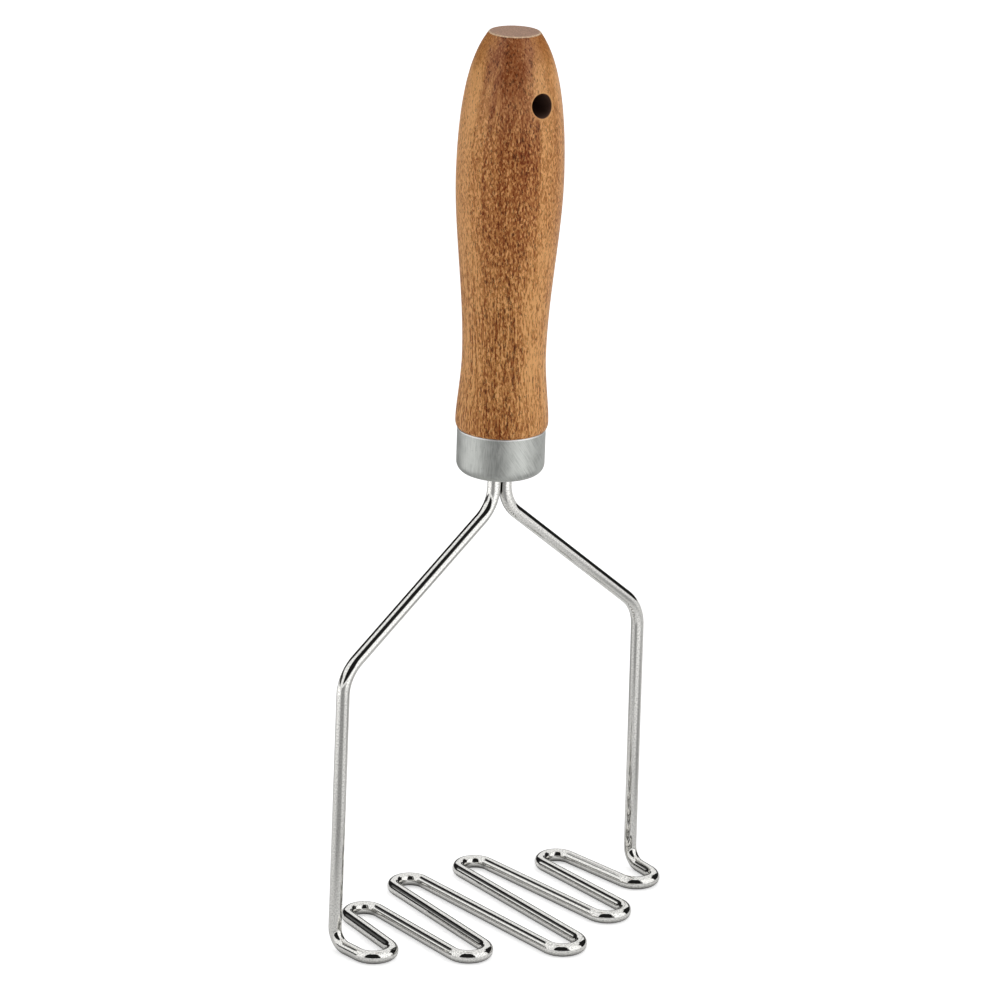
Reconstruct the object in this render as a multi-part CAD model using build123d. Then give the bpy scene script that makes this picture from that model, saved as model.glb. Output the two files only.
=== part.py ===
"""Wire potato masher with a turned wooden handle.

One length of round steel wire makes the serpentine head, both legs, both shoulders and the neck.
Its two ends run up side by side, through a drawn steel ferrule, into a glued bore in the handle.

Millimetres, +Z up. The origin is on the handle's axis, in the plane that the head stands on.
The legs stand on the X axis, and the head reaches further to the front, -Y, than to the back.
"""

import os
from math import asin, atan2, cos, hypot, sin, tan

from build123d import *

# Wire
wire_diameter = 4.0
neck_gap = 0.2
leg_spacing = 114.3
shoulder_spacing = 111.9
shoulder_height = 87.4
neck_height = 130.8
neck_straight_length = 4.4
neck_bend_radius = 12.4
shoulder_bend_radius = 13.4
foot_bend_radius = 5.2
tang_length = 58.0
wire_end_chamfer = 0.4

# Serpentine head, from the plane of the legs to the middle of the wire
front_reach = 43.5
back_reach = 26.9

# Places of the tips along the head, in halves of the leg spacing, and their reach
front_place_shares = (-0.886, -0.467, 0.0, 0.467, 0.886)
front_reach_shares = (0.376, 0.731, 1.0, 0.731, 0.376)
back_place_shares = (-0.654, -0.221, 0.221, 0.654)
back_reach_shares = (0.625, 1.0, 1.0, 0.625)

# Radius of the tips, in shares of the pitch from one run of the head to the next
front_tip_radius_share = 0.5
back_tip_radius_share = 0.455

# Ferrule
ferrule_diameter = 26.4
ferrule_height = 13.9
ferrule_wall = 0.8
ferrule_bottom_radius = 3.2
ferrule_rim_radius = 0.25
slot_clearance = 0.15

# Handle, with rises from the ferrule's rim and drops from the handle's top
handle_length = 120.0
seat_inset = 0.3
shoulder_overhang = 0.65
shoulder_rise = 2.1
waist_diameter = 24.9
waist_rise = 22.6
palm_diameter = 31.7
palm_drop = 43.7
top_flat_diameter = 15.0
top_edge_radius = 1.0
hang_hole_diameter = 7.0
hang_hole_drop = 19.3
hang_hole_edge_radius = 0.5
tang_bore_clearance = 0.15
tang_bore_spare = 1.5
glue_thickness = 0.12

# How far each stretch of the handle's outline keeps its end directions, in shares of the stretch
shoulder_hold_share = 0.24
waist_hold_shares = (0.37, 0.35)
palm_hold_shares = (0.3, 0.74)
top_hold_shares = (0.286, 0.087)

# Cutting tools run past the faces that they open
overrun = 5.0

wire_radius = wire_diameter / 2
run_pitch = leg_spacing / (len(front_place_shares) + len(back_place_shares) + 1)
front_tip_radius = front_tip_radius_share * run_pitch
back_tip_radius = back_tip_radius_share * run_pitch
tang_offset = (wire_diameter + neck_gap) / 2
ferrule_radius = ferrule_diameter / 2
cup_radius = ferrule_radius - ferrule_wall
cup_bottom_radius = ferrule_bottom_radius - ferrule_wall
spigot_radius = cup_radius - glue_thickness
spigot_bottom_radius = cup_bottom_radius - glue_thickness
bore_radius = tang_offset + wire_radius + tang_bore_clearance


def straight_run(first, second):
    """Straight wire from one bend to the next, which it meets on the other side.

    A bend is its centre, its radius and its turn, 1 to the left or -1 to the right. The run keeps
    each centre one radius away, on the side that the wire turns to. Gives a point and a heading.
    """
    (x1, y1, radius1, turn1), (x2, y2, radius2, turn2) = first, second
    apart = hypot(x2 - x1, y2 - y1)
    heading = atan2(y2 - y1, x2 - x1) - asin((turn2 * radius2 - turn1 * radius1) / apart)
    x = x1 + turn1 * radius1 * sin(heading)
    y = y1 - turn1 * radius1 * cos(heading)
    return x, y, heading


def corner(before, after):
    """Point where two straight runs would meet if the bend between them were sharp."""
    (x1, y1, heading1), (x2, y2, heading2) = before, after
    along = ((x2 - x1) * sin(heading2) - (y2 - y1) * cos(heading2)) / sin(heading2 - heading1)
    return x1 + along * cos(heading1), y1 + along * sin(heading1), wire_radius


def head_bends():
    """Bends of the serpentine head from the left foot to the right foot, both feet included."""
    half = leg_spacing / 2
    fronts = [
        (place * half, front_tip_radius - reach * front_reach, front_tip_radius, 1)
        for place, reach in zip(front_place_shares, front_reach_shares)
    ]
    backs = [
        (place * half, reach * back_reach - back_tip_radius, back_tip_radius, -1)
        for place, reach in zip(back_place_shares, back_reach_shares)
    ]
    bends = [fronts[0]]
    for back, front in zip(backs, fronts[1:]):
        bends += [back, front]
    return [(-half, 0, 0, 1), *bends, (half, 0, 0, 1)]


def leg_corners(side):
    """Sharp corners of one leg, from the foot up to the neck."""
    return [
        (side * leg_spacing / 2, 0, wire_radius),
        (side * shoulder_spacing / 2, 0, shoulder_height),
        (side * tang_offset, 0, neck_height),
    ]


def neck_bend_end():
    """Height at which the neck's bend ends and the wire stands upright."""
    turn = atan2(shoulder_spacing / 2 - tang_offset, neck_height - shoulder_height)
    return neck_height + neck_bend_radius * tan(turn / 2)


ferrule_base = neck_bend_end() + neck_straight_length
ferrule_rim = ferrule_base + ferrule_height
cup_floor = ferrule_base + ferrule_wall
spigot_bottom = cup_floor + glue_thickness
tang_top = ferrule_base + tang_length
bore_top = tang_top + tang_bore_spare
handle_top = ferrule_rim + handle_length


def wire_path():
    """Centreline of the whole wire, from one tang's end to the other's."""
    bends = head_bends()
    runs = [straight_run(first, second) for first, second in zip(bends, bends[1:])]
    head = [corner(before, after) for before, after in zip(runs, runs[1:])]
    head_radii = [radius for _, _, radius, _ in bends[1:-1]]
    leg_radii = [foot_bend_radius, shoulder_bend_radius, neck_bend_radius]
    ends = [(side * tang_offset, 0, tang_top) for side in (-1, 1)]
    points = [ends[0], *leg_corners(-1)[::-1], *head, *leg_corners(1), ends[1]]
    return FilletPolyline(*points, radius=[*leg_radii[::-1], *head_radii, *leg_radii])


def masher_wire():
    """Round wire swept along its centreline, with both ends chamfered."""
    path = wire_path()
    start = Plane(origin=path @ 0, z_dir=path % 0)
    wire = sweep(start * Circle(wire_radius), path=path)
    ends = wire.edges().group_by(Axis.Z)[-1]
    return chamfer(ends, wire_end_chamfer)


def upright_cylinder(radius, bottom, top):
    """Upright cylinder on the handle's axis."""
    align = (Align.CENTER, Align.CENTER, Align.MIN)
    return Pos(0, 0, bottom) * Cylinder(radius, top - bottom, align=align)


def rounded_plug(radius, bottom_radius, bottom, top):
    """Upright cylinder on the handle's axis, with its lower edge rounded."""
    plug = upright_cylinder(radius, bottom, top)
    return fillet(plug.edges().group_by(Axis.Z)[0], bottom_radius)


def ferrule():
    """Drawn cup with a rounded floor, a soft rim and a slot that both wires pass through."""
    shell = rounded_plug(ferrule_radius, ferrule_bottom_radius, ferrule_base, ferrule_rim)
    cup = shell - rounded_plug(cup_radius, cup_bottom_radius, cup_floor, ferrule_rim + overrun)
    cup = fillet(cup.edges().group_by(Axis.Z)[-1], ferrule_rim_radius)
    slot_width = wire_diameter + 2 * slot_clearance
    slot = SlotOverall(slot_width + 2 * tang_offset, slot_width)
    return cup - Pos(0, 0, ferrule_base - overrun) * extrude(slot, 2 * overrun)


def handle_outline():
    """Half section of the wood, from the spigot's foot round the outside to the top.

    The lower edge is a quarter of an ellipse. Above it, three smooth curves join the shoulder, the
    waist, the palm swelling and the top, and run straight up at the first three.
    """
    seat = ferrule_radius - seat_inset
    shoulder = (ferrule_radius + shoulder_overhang, ferrule_rim + shoulder_rise)
    waist = (waist_diameter / 2, ferrule_rim + waist_rise)
    palm = (palm_diameter / 2, handle_top - palm_drop)
    top = (top_flat_diameter / 2, handle_top)
    above_palm = palm[1] + palm_hold_shares[1] * (top[1] - palm[1])
    below_top = (
        top[0] + top_hold_shares[0] * (palm[0] - top[0]),
        top[1] - top_hold_shares[1] * (top[1] - palm[1]),
    )
    edge = EllipticalCenterArc(
        (seat, shoulder[1]), shoulder[0] - seat, shoulder_rise, start_angle=-90, arc_size=90
    )
    return [
        Polyline((0, spigot_bottom), (spigot_radius, spigot_bottom), (spigot_radius, ferrule_rim), edge @ 0),
        edge,
        upright_curve(shoulder, waist, shoulder_hold_share, waist_hold_shares[0]),
        upright_curve(waist, palm, waist_hold_shares[1], palm_hold_shares[0]),
        Bezier(palm, (palm[0], above_palm), below_top, top),
        Polyline(top, (0, handle_top), (0, spigot_bottom)),
    ]


def upright_curve(low, high, low_hold_share, high_hold_share):
    """Smooth curve between two points of the outline that runs straight up at both."""
    rise = high[1] - low[1]
    after_low = (low[0], low[1] + low_hold_share * rise)
    before_high = (high[0], high[1] - high_hold_share * rise)
    return Bezier(low, after_low, before_high, high)


def handle():
    """Turned wood with its spigot, the bore for the tangs and the hang hole through the palm end."""
    section = Plane.XZ * make_face(handle_outline())
    wood = revolve(section, Axis.Z)
    wood = fillet(wood.edges().group_by(Axis.Z)[0], spigot_bottom_radius)
    wood = fillet(wood.edges().group_by(Axis.Z)[-1], top_edge_radius)
    wood -= upright_cylinder(bore_radius, ferrule_base, bore_top)
    hang_hole = Cylinder(hang_hole_diameter / 2, palm_diameter + 2 * overrun)
    wood -= Pos(0, 0, handle_top - hang_hole_drop) * Rot(90, 0, 0) * hang_hole
    mouths = [
        edge
        for edge in wood.edges()
        if abs(edge.center().Z - (handle_top - hang_hole_drop)) < hang_hole_diameter / 2
        and abs(edge.center().Y) > hang_hole_diameter
    ]
    return fillet(mouths, hang_hole_edge_radius)


def ferrule_adhesive():
    """Glue film between the spigot and the cup."""
    cup_space = rounded_plug(cup_radius, cup_bottom_radius, cup_floor, ferrule_rim)
    spigot = rounded_plug(spigot_radius, spigot_bottom_radius, spigot_bottom, ferrule_rim + overrun)
    return cup_space - spigot - upright_cylinder(bore_radius, ferrule_base, ferrule_rim)


def tang_adhesive():
    """Glue that fills the bore round the two tangs, from the cup's floor to the bore's end."""
    return upright_cylinder(bore_radius, cup_floor, bore_top) - masher_wire()


os.makedirs("parts", exist_ok=True)
for make in (masher_wire, handle, ferrule, tang_adhesive, ferrule_adhesive):
    solid = make()
    export_step(solid, f"parts/{make.__name__}.step")
    print(make.__name__, len(solid.solids()), "solid,", round(solid.volume), "cubic millimetres")
print("height", round(handle_top, 2))
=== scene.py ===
"""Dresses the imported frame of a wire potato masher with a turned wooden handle.

The wire, the ferrule and the handle are fine surfaces that stand for their CAD nodes. The two glue
films keep their CAD nodes and get a finish. Lengths are metres, in the part's own frame.
"""

from math import ceil, cos, pi, radians, sin, tan

import bpy
import numpy as np
from bpy.props import FloatProperty, FloatVectorProperty, PointerProperty
from bpy.types import Operator, Panel, PropertyGroup
from mathutils import Matrix, Vector


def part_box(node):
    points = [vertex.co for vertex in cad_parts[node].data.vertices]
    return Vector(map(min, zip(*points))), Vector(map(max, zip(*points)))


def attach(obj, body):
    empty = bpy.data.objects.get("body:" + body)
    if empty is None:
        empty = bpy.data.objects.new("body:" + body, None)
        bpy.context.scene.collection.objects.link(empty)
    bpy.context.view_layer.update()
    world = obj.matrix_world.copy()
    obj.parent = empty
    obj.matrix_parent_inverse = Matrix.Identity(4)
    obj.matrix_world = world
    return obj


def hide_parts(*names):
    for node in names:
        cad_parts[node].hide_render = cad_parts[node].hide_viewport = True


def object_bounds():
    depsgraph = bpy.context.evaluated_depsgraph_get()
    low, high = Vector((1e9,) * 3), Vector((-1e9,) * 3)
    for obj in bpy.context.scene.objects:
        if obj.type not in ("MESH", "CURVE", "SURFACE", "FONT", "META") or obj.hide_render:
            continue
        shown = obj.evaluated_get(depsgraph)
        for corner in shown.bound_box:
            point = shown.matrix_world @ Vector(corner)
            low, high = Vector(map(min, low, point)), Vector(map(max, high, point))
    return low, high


bl_info = {
    "name": "Potato Masher",
    "version": (1, 0, 0),
    "blender": (4, 5, 0),
    "location": "3D Viewport > Sidebar > Masher",
    "description": "Builds the visible pieces of a wire potato masher round its packed frame",
    "category": "Object",
}

MM = 0.001
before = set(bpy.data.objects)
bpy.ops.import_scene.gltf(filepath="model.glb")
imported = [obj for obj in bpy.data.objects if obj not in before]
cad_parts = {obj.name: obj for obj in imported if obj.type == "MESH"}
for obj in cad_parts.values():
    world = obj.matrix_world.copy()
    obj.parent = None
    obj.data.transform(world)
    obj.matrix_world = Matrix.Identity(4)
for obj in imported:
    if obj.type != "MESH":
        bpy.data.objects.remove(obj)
cad_box = [list(corner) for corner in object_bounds()]
ferrule_low, ferrule_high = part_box("ferrule")
handle_low, handle_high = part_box("handle")
bore_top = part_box("tang_adhesive")[1].z
tang_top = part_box("masher_wire")[1].z


def size(label, text, millimetres):
    """Property for a length, shown in the scene's own units."""
    return amount(label, text, millimetres * MM, unit="LENGTH")


def share(label, text, value):
    """Property for a share or a strength."""
    return FloatProperty(name=label, description=text, default=value, subtype="FACTOR")


def amount(label, text, value, **settings):
    """Property for a number from 0 up."""
    return FloatProperty(name=label, description=text, default=value, min=0.0, **settings)


def row(label, text, values, **settings):
    """Property for a row of numbers."""
    return FloatVectorProperty(name=label, description=text, default=values, size=len(values), **settings)


def paint(label, text, *screen_levels):
    """Property for a colour, given as it shows on a screen from 0 to 255."""
    return row(label, text, linear(screen_levels), min=0.0, max=1.0, subtype="COLOR")


def angle(label, text, value):
    """Property for an angle."""
    return FloatProperty(name=label, description=text, default=value, unit="ROTATION")


def bearing(label, text, degrees):
    """Property for an angle that is given in degrees."""
    return angle(label, text, radians(degrees))


def window(label, text, degrees):
    """Property for a window in the sky: bearing from the camera, height, half width and half height."""
    return row(label, text, tuple(radians(value) for value in degrees), unit="ROTATION")


def glow(label, text, values):
    """Property for a bright side of the floor: bearing from the camera, half spread and added white."""
    return row(label, text, (radians(values[0]), radians(values[1]), values[2]))


def linear(screen_levels):
    """Light levels of a screen colour: the power curve of a display, with its short straight start."""
    level = np.array(screen_levels) / 255
    curve = ((level + 0.055) / 1.055) ** 2.4
    return tuple(float(x) for x in np.where(level > 0.04045, curve, level / 12.92))


class MasherWireSettings(PropertyGroup):
    """Sizes and finish of the bent wire."""

    wire_diameter: size("Wire Diameter", "Thickness of the round wire", 4.0)
    neck_gap: size("Neck Gap", "Gap between the two wires where they enter the ferrule", 0.2)
    leg_spacing: size("Leg Spacing", "Distance between the feet of the legs", 114.3)
    shoulder_spacing: size("Shoulder Spacing", "Distance between the shoulder corners", 111.9)
    shoulder_height: size("Shoulder Height", "Height of the shoulder corners", 87.4)
    neck_height: size("Neck Height", "Height of the neck corners", 130.8)
    neck_bend_radius: size("Neck Bend", "Radius of the bends at the neck", 12.4)
    shoulder_bend_radius: size("Shoulder Bend", "Radius of the bends at the shoulders", 13.4)
    foot_bend_radius: size("Foot Bend", "Radius of the bends at the feet", 5.2)
    end_chamfer: size("End Chamfer", "Chamfer on the two hidden wire ends", 0.4)
    front_reach: size("Front Reach", "How far the head reaches to the front", 43.5)
    back_reach: size("Back Reach", "How far the head reaches to the back", 26.9)
    front_tip_share: share("Front Tip Radius", "Radius of the front tips, in run pitches", 0.5)
    back_tip_share: share("Back Tip Radius", "Radius of the back tips, in run pitches", 0.455)
    front_places: row("Front Places", "Tips, in half leg spacings", (-0.886, -0.467, 0.0, 0.467, 0.886))
    front_reaches: row("Front Reaches", "Tips, in front reaches", (0.376, 0.731, 1.0, 0.731, 0.376))
    back_places: row("Back Places", "Tips, in half leg spacings", (-0.654, -0.221, 0.221, 0.654))
    back_reaches: row("Back Reaches", "Tips, in back reaches", (0.625, 1.0, 1.0, 0.625))
    steel: paint("Steel", "Colour of the polished steel", 237, 236, 232)


class MasherFerruleSettings(PropertyGroup):
    """Sizes and finish of the ferrule."""

    wall: size("Wall", "Thickness of the drawn sheet", 0.8)
    bottom_radius: size("Bottom Radius", "Outer radius of the bottom edge", 3.2)
    rim_radius: size("Rim Radius", "Radius that softens the rim", 0.25)
    slot_clearance: size("Slot Clearance", "Room round each wire in the slot", 0.15)
    slot_edge: size("Slot Edge", "Radius that softens the slot's edges", 0.1)
    # Reach of the painted highlight along the rim, which is lightened in colour
    rim_highlight_reach: size("Worn Rim", "How far the rim is rubbed bright", 0.6)
    steel: paint("Steel", "Colour of the brushed steel", 195, 197, 193)


class MasherHandleSettings(PropertyGroup):
    """Sizes and finish of the turned handle."""

    spigot_inset: size("Spigot Inset", "From the ferrule's outside to the spigot's side", 0.92)
    spigot_edge: size("Spigot Edge", "Radius of the spigot's lower edge", 2.28)
    bore_diameter: size("Bore Diameter", "Width of the glued bore for the tangs", 8.5)
    seat_inset: size("Seat Inset", "From the ferrule's outside to the foot of the visible wood", 0.3)
    shoulder_overhang: size("Shoulder Overhang", "How far the wood stands out past the ferrule", 0.65)
    shoulder_rise: size("Shoulder Rise", "From the ferrule's rim to the shoulder", 2.1)
    waist_diameter: size("Waist Diameter", "Width of the waist", 24.9)
    waist_rise: size("Waist Rise", "From the ferrule's rim to the waist", 22.6)
    palm_diameter: size("Palm Diameter", "Width of the palm swelling", 31.7)
    palm_drop: size("Palm Drop", "From the top down to the palm swelling", 43.7)
    top_diameter: size("Top Diameter", "Width of the flat top before its edge is rounded", 15.0)
    top_edge: size("Top Edge", "Radius of the top's edge", 1.0)
    hole_diameter: size("Hang Hole Diameter", "Width of the hang hole", 7.0)
    hole_drop: size("Hang Hole Drop", "From the top down to the hang hole's axis", 19.3)
    hole_edge: size("Hang Hole Edge", "Radius of the hang hole's mouths", 0.5)
    shoulder_hold: share("Shoulder Hold", "How far the outline keeps upright above the shoulder", 0.24)
    waist_holds: row("Waist Holds", "How far it keeps upright below and above the waist", (0.37, 0.35))
    palm_holds: row("Palm Holds", "How far it keeps upright below and above the palm swelling", (0.3, 0.74))
    top_holds: row("Top Holds", "Where the outline turns in to the top, across and down", (0.286, 0.087))
    fleck: paint("Flecks", "Lightest tone of the wood", 242, 181, 117)
    pale: paint("Pale Wood", "Tone of the light side", 204, 141, 80)
    middle: paint("Middle Wood", "Main tone of the wood", 173, 107, 56)
    dark: paint("Dark Wood", "Tone of the dark side", 122, 55, 10)
    pore: paint("Pores", "Tone inside the pores", 62, 26, 2)
    # End grain, partly its own tone and partly painted light from above and painted sheen
    end_grain_and_top_light: paint("End Grain", "Tone of the flat top", 180, 142, 118)
    # A painted highlight on the top's rounded edge, not wear
    edge_highlight: paint("Worn Edge", "Tone of the rubbed edge of the top", 240, 212, 176)
    # Painted shade: the wall inside the hang hole is darkened in colour
    painted_hole_shade: paint("Drilled Wall", "Tone of the raw wood inside the hang hole", 98, 74, 64)
    # The dark side lies near the front: partly the wood's figure and close pores, partly painted shade
    dark_side_bearing: bearing("Heart Bearing", "Bearing of the wood's dark side, 0 in front", -43.0)
    dark_side_spread: bearing("Heart Spread", "Where the dark side ends at the palm, from its middle", 43.0)
    dark_side_low_spread: bearing("Low Heart Spread", "Where the dark side ends at the waist", 40.0)
    # The side at this bearing is lighter low down, and painted shade darkens it high up
    side_light_bearing: bearing("Pale Bearing", "Bearing of the wood's palest side", 50.0)
    dark_side_full: bearing("Heart Full", "How far the dark side is full, from its middle", 6.0)


class MasherGlueSettings(PropertyGroup):
    """Finish of the two glue films."""

    resin: paint("Resin", "Colour of the set glue", 196, 176, 132)


class MasherStageSettings(PropertyGroup):
    """Camera, floor and lamps."""

    camera_place: row("Camera Place", "Its place", (-0.81913, -1.04015, 0.57962), subtype="TRANSLATION")
    camera_azimuth: angle("Camera Azimuth", "Bearing of the camera round the part, 0 in front", -0.66730)
    camera_elevation: angle("Camera Elevation", "How far the camera looks down", 0.32606)
    camera_roll: angle("Camera Roll", "How far the camera leans", 0.03400)
    camera_lens: amount("Lens", "Focal length on a 36 mm sensor", 168.49, unit="CAMERA")
    floor: paint("Floor", "Colour of the floor as the camera sees it", 246, 246, 246)
    floor_grey: share("Floor Grey", "Lightness of the far floor where it shows in the steel", 0.5)
    near_grey: share("Near Grey", "Lightness of the floor under the head where it shows in the steel", 0.95)
    near_white: share("Near White", "White added to the floor under the head", 0.12)
    # Seen in steel, the floor beside the wire is darkened as painted contact shade
    contact_shade_grey: share("Contact Grey", "Lightness of the floor beside the wire, seen in steel", 0.1)
    floor_white: share("Floor White", "White added to the floor where the camera sees it", 0.55)
    near_reach: size("Near Reach", "From the middle to where the far floor takes over", 140.0)
    far_reach: size("Far Reach", "From the middle to where the far glows are full", 420.0)
    left_glow: glow("Left Glow", "The floor's bright side on the left", (-80.0, 52.0, 0.42))
    right_glow: glow("Right Glow", "The floor's bright side on the right", (44.0, 42.0, 0.52))
    back_glow: glow("Back Glow", "The floor's bright side behind the part", (158.0, 60.0, 0.45))
    far_left_glow: glow("Far Left Glow", "The far floor's bright side on the left", (-84.0, 55.0, 0.58))
    far_right_glow: glow("Far Right Glow", "The far floor's bright side on the right", (66.0, 60.0, 0.58))
    gap_level: share("Gap Level", "Brightness of the gaps between the studio's white walls", 0.015)
    gap_edge: bearing("Gap Edge", "Softness of the gaps' edges", 5.0)
    front_gap: window("Front Gap", "Gap in the white walls behind the camera", (1.0, 41.0, 36.0, 36.0))
    left_gap: window("Left Gap", "Gap behind the part on the left", (-132.0, 22.0, 22.0, 27.0))
    right_gap: window("Right Gap", "Gap behind the part on the right", (126.0, 20.0, 25.0, 23.0))
    back_gap: window("Back Gap", "Low gap along the horizon behind the part", (-170.0, 5.0, 45.0, 9.0))
    side_gap: window("Side Gap", "Low gap along the horizon on the left", (-98.0, 8.0, 24.0, 10.0))
    left_lamp: window("Left Lamp", "Where the left lamp fills the sky", (-82.0, 30.0, 36.0, 30.0))
    right_lamp: window("Right Lamp", "Where the right lamp fills the sky", (67.0, 25.0, 33.0, 35.0))
    left_light: amount("Left Light", "Brightness of the left lamp, where 1 is a white wall", 0.1)
    right_light: amount("Right Light", "Brightness of the right lamp, where 1 is a white wall", 0.3)
    lamp_distance: size("Lamp Distance", "From the part's middle to each lamp", 1200.0)


# Surfaces

SHARP_ANGLE = 0.7
LAY_MAP = "Lay"


def unit(vectors):
    """Vectors divided by their lengths."""
    return vectors / np.linalg.norm(vectors, axis=-1, keepdims=True)


def turned(vector, axis, angles):
    """A vector turned about a unit axis by each angle.

    The part along the axis stays, and the rest goes round as cosine times itself plus sine times
    its cross product with the axis.
    """
    along = axis * (axis @ vector)
    across = vector - along
    return along + np.outer(np.cos(angles), across) + np.outer(np.sin(angles), np.cross(axis, across))


def full_turn(count):
    """Angles of equal steps round a full turn."""
    return np.arange(count) * (2 * pi / count)


def cells(grid):
    """The four corners of each cell of a grid, in the order of a face."""
    return np.stack((grid[:-1, :-1], grid[:-1, 1:], grid[1:, 1:], grid[1:, :-1]), axis=2)


def quads(numbers):
    """Faces between the neighbours in a grid of vertex numbers, whose columns close round."""
    return cells(np.concatenate((numbers, numbers[:, :1]), axis=1)).reshape(-1, 4)


def grid_numbers(grid, first=0):
    """Vertex numbers of a grid of points, counted from the first."""
    rows, columns = grid.shape[:2]
    return first + np.arange(rows * columns).reshape(rows, columns)


def round_grid(reach, height, angles):
    """Grid of points at a distance from the axis, a height and an angle round it."""
    return np.stack(np.broadcast_arrays(reach * np.cos(angles), reach * np.sin(angles), height), axis=-1)


def travelled(points):
    """Way along a line of points, at each of them."""
    return np.concatenate(((0,), np.cumsum(np.linalg.norm(np.diff(points, axis=0), axis=1))))


def fan(ring, pole):
    """Triangles from each pair of neighbours in a ring of vertex numbers to a pole."""
    return np.stack((ring, np.roll(ring, -1), np.full(len(ring), pole)), axis=-1)


def curve(first, second, third, fourth, count):
    """Points of a cubic Bezier curve: its four points weighted by the terms of (1 - t + t) cubed."""
    t = np.linspace(0, 1, count)[:, None]
    weights = ((1 - t) ** 3, 3 * t * (1 - t) ** 2, 3 * t**2 * (1 - t), t**3)
    return sum(weight * np.array(point) for weight, point in zip(weights, (first, second, third, fourth)))


def arc(centre, radius, first, last, count):
    """Points on a circle between two angles."""
    angles = np.linspace(first, last, count)
    return np.array(centre) + radius * np.stack((np.cos(angles), np.sin(angles)), axis=-1)


def steps_between(first, last, pitch):
    """Even steps from one value to another, no wider than the pitch, without the last value."""
    count = max(1, ceil(abs(last - first) / pitch))
    return np.linspace(first, last, count + 1)[:-1]


def new_mesh(name, points, faces, lay=None):
    """Smooth mesh with sharp edges only where faces meet at a steep angle.

    Lay gives each face corner its way round and its way along the piece, in metres, as a UV map.
    """
    mesh = bpy.data.meshes.new(name)
    mesh.from_pydata(points.tolist(), [], [face for group in faces for face in group.tolist()])
    mesh.polygons.foreach_set("use_smooth", np.ones(len(mesh.polygons), bool))
    mesh.set_sharp_from_angle(angle=SHARP_ANGLE)
    if lay is not None:
        layer = mesh.uv_layers.new(name=LAY_MAP)
        layer.uv.foreach_set("vector", np.concatenate(lay).astype(np.float32).ravel())
    mesh.validate()
    mesh.update()
    return mesh


def linked_object(name, data):
    """Object that is linked to the scene."""
    entry = bpy.data.objects.new(name, data)
    bpy.context.scene.collection.objects.link(entry)
    return entry


def new_piece(name, mesh, material, node):
    """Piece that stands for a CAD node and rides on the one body."""
    piece = linked_object(name, mesh)
    mesh.materials.append(material)
    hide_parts(node)
    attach(piece, "root")


# Wire

WIRE_RUN_STEP = 1.5 * MM
WIRE_TURN_STEP = 0.06
WIRE_SIDES = 40


def head_corners(s):
    """Sharp corners of the serpentine head and their bend radii, from the left to the right.

    Front tips turn left and back tips turn right. A run is tangent to the two bends that it joins:
    its heading is the bearing between their centres, less the arcsine of the change in signed
    radius over their distance. A corner is where two runs in a row meet.
    """
    tips = len(s.front_places) + len(s.back_places)
    half = s.leg_spacing / 2
    pitch = s.leg_spacing / (tips + 1)
    x, y, signed = np.zeros((3, tips + 2))
    x[0], x[-1] = -half, half
    signed[1:-1:2] = s.front_tip_share * pitch
    signed[2:-1:2] = -s.back_tip_share * pitch
    x[1:-1:2] = np.array(s.front_places) * half
    x[2:-1:2] = np.array(s.back_places) * half
    y[1:-1:2] = signed[1:-1:2] - np.array(s.front_reaches) * s.front_reach
    y[2:-1:2] = signed[2:-1:2] + np.array(s.back_reaches) * s.back_reach
    heading = np.arctan2(np.diff(y), np.diff(x))
    heading -= np.arcsin(np.diff(signed) / np.hypot(np.diff(x), np.diff(y)))
    run_x = x[:-1] + signed[:-1] * np.sin(heading)
    run_y = y[:-1] - signed[:-1] * np.cos(heading)
    after = heading[1:]
    along = np.diff(run_x) * np.sin(after) - np.diff(run_y) * np.cos(after)
    along /= np.sin(np.diff(heading))
    corner_x = run_x[:-1] + along * np.cos(heading[:-1])
    corner_y = run_y[:-1] + along * np.sin(heading[:-1])
    corners = np.stack((corner_x, corner_y, np.full(tips, s.wire_diameter / 2)), axis=-1)
    return corners, np.abs(signed[1:-1])


def wire_corners(s):
    """Sharp corners of the whole wire, from the left tang's end to the right one's, and radii."""
    tang_offset = (s.wire_diameter + s.neck_gap) / 2
    left = np.array(
        (
            (-tang_offset, 0, tang_top),
            (-tang_offset, 0, s.neck_height),
            (-s.shoulder_spacing / 2, 0, s.shoulder_height),
            (-s.leg_spacing / 2, 0, s.wire_diameter / 2),
        )
    )
    right = left[::-1] * (-1, 1, 1)
    head, head_radii = head_corners(s)
    leg_radii = np.array((s.neck_bend_radius, s.shoulder_bend_radius, s.foot_bend_radius))
    return np.concatenate((left, head, right)), np.concatenate((leg_radii, head_radii, leg_radii[::-1]))


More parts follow.
